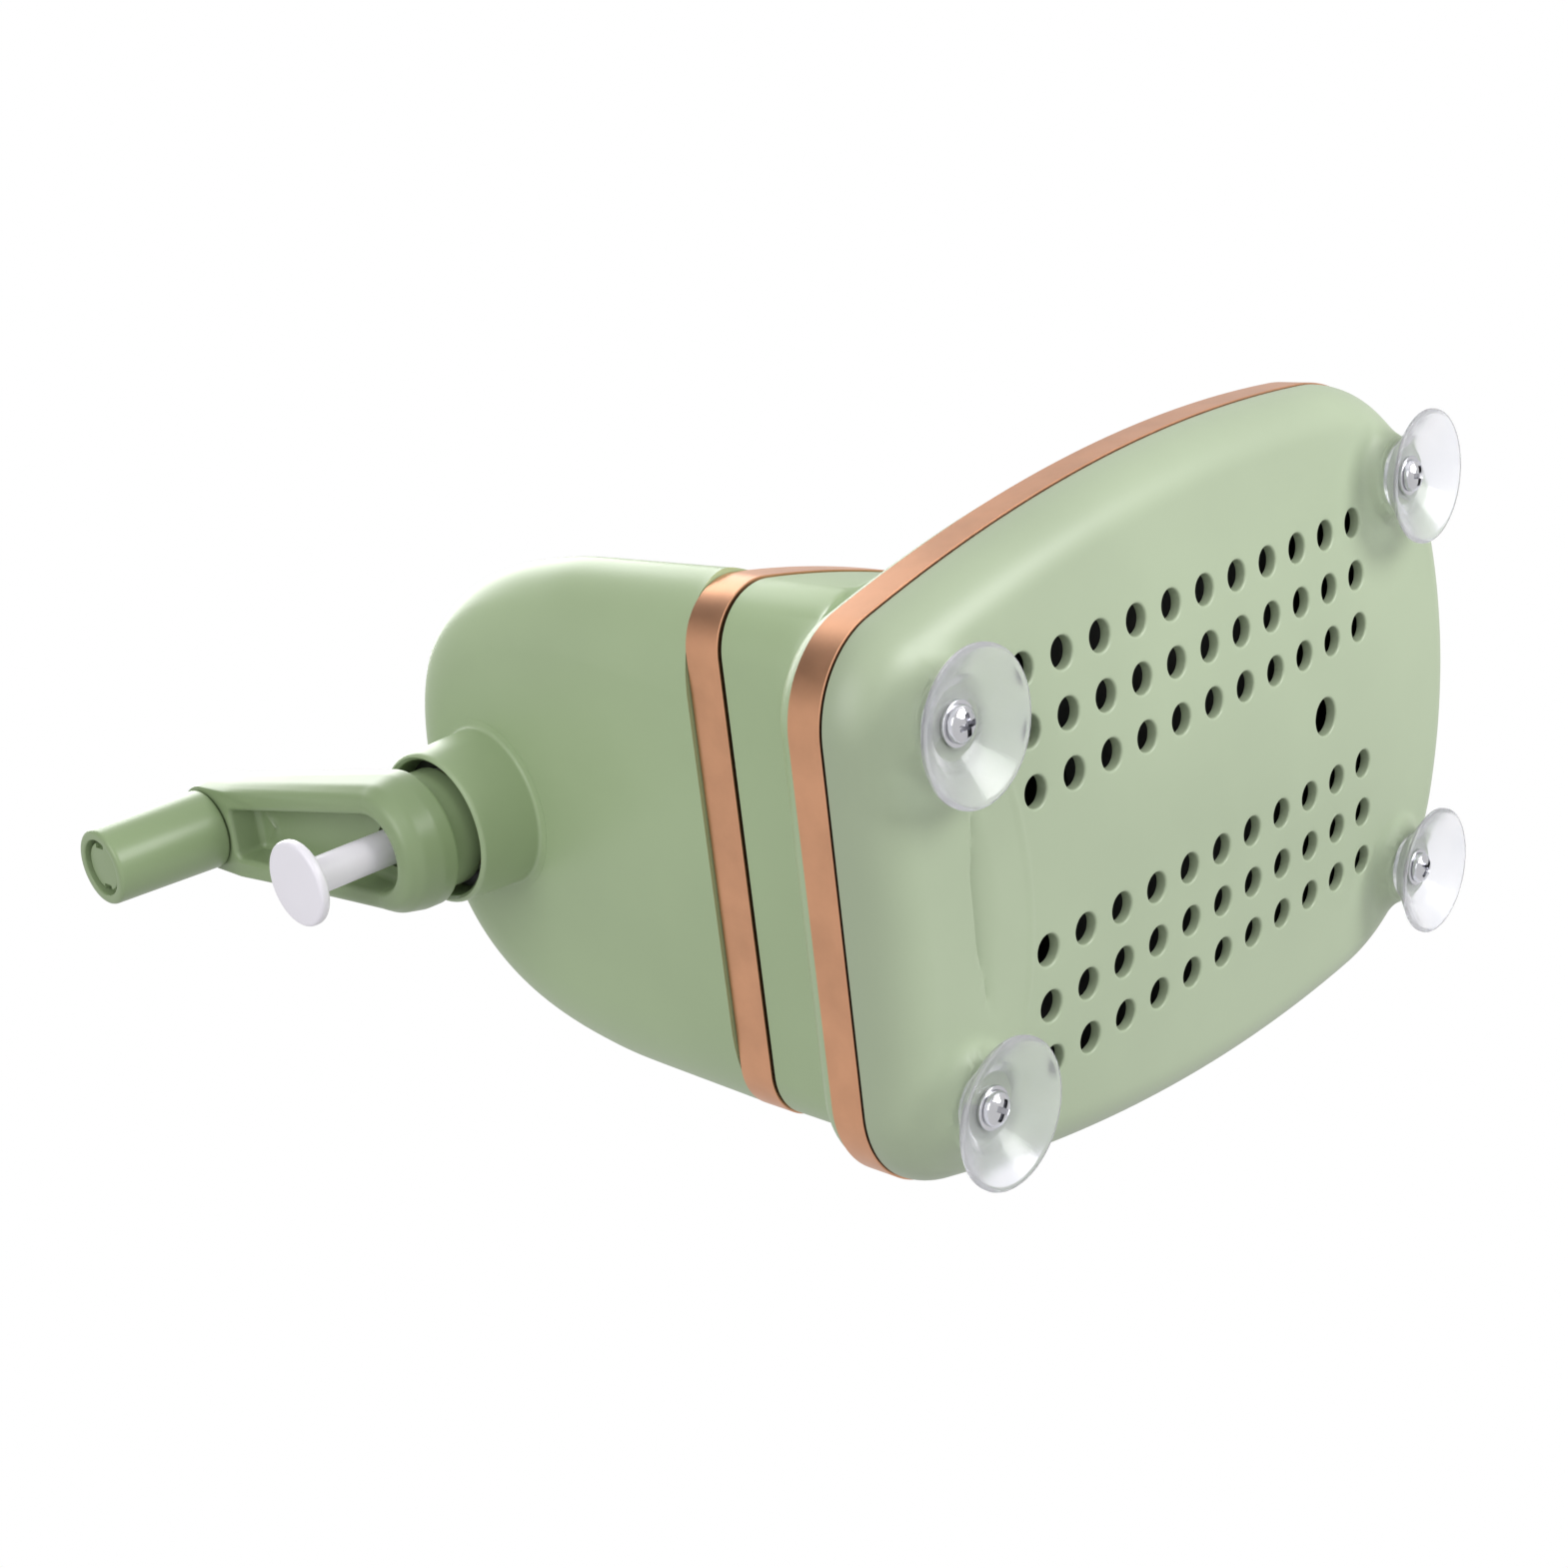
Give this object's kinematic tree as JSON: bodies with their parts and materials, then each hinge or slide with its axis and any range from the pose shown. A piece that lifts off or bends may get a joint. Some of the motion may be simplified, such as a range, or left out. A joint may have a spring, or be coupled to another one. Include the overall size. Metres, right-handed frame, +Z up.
{
  "type": "hand crank meat grinder",
  "caption": "Hand crank meat grinder: arched head with a rear crank on a vented stand with suction cups, lift-off hopper bowl, auger, blade and grinding plate.",
  "frame": {"origin": "middle of the outline in plan, on the plane under the suction cups", "axes": "+X towards the outlet, -X towards the crank, +Z up; the grinder is mirror-symmetric about y = 0 apart from the auger, the blade and the barrel clip's gap"},
  "size_m": [0.2622, 0.1446, 0.216],
  "materials": {
    "pale_green": "pale sage moulded plastic, smooth",
    "green": "sage moulded plastic, glossy",
    "copper": "satin copper",
    "clear_soft": "clear soft vinyl",
    "steel": "bright steel",
    "cast": "polished cast aluminium",
    "bronze": "plain bearing bronze",
    "dark_rubber": "black seal rubber",
    "white": "white moulded plastic"
  },
  "bodies": {
    "stand": {"base_pan": "pale_green", "base_trim": "copper", "base_shell": "green", "waist_trim": "copper", "head_shell": "green", "suction_cups": "clear_soft", "cup_washers": "steel", "cup_screws": "steel", "neck_screws": "steel", "barrel": "cast", "barrel_clip": "steel", "feed_throat": "green", "rear_bush": "bronze", "shaft_seal": "dark_rubber", "grinding_plate": "steel"},
    "crank": {"auger": "cast", "cutting_blade": "steel", "crank_arm": "green", "grip_axle": "pale_green"},
    "grip": {"grip": "pale_green"},
    "locking_pin": {"locking_pin": "white"},
    "ring_nut": {"ring_nut": "green"},
    "hopper": {"hopper": "green", "hopper_seal": "dark_rubber"},
    "food_pusher": {"food_pusher": "white"}
  },
  "joints": [
    {"name": "crank_turn", "type": "hinge", "parent": "stand", "child": "crank", "pos_m": [0, 0, 0.1455], "axis": [1, 0, 0], "continuous": true},
    {"name": "grip_spin", "type": "hinge", "parent": "crank", "child": "grip", "pos_m": [-0.11632, 0, 0.1979], "axis": [1, 0, 0], "continuous": true},
    {"name": "locking_pin_slide", "type": "slide", "parent": "crank", "child": "locking_pin", "axis": [-1, 0, 0], "range_m": [-0.014, 0.022]},
    {"name": "ring_nut_off", "type": "slide", "parent": "stand", "child": "ring_nut", "axis": [1, 0, 0], "range_m": [0, 0.04]},
    {"name": "hopper_lift", "type": "slide", "parent": "stand", "child": "hopper", "axis": [0, 0, 1], "range_m": [0, 0.05]},
    {"name": "pusher_slide", "type": "slide", "parent": "hopper", "child": "food_pusher", "axis": [0, 0, 1], "range_m": [0, 0.06]}
  ]
}
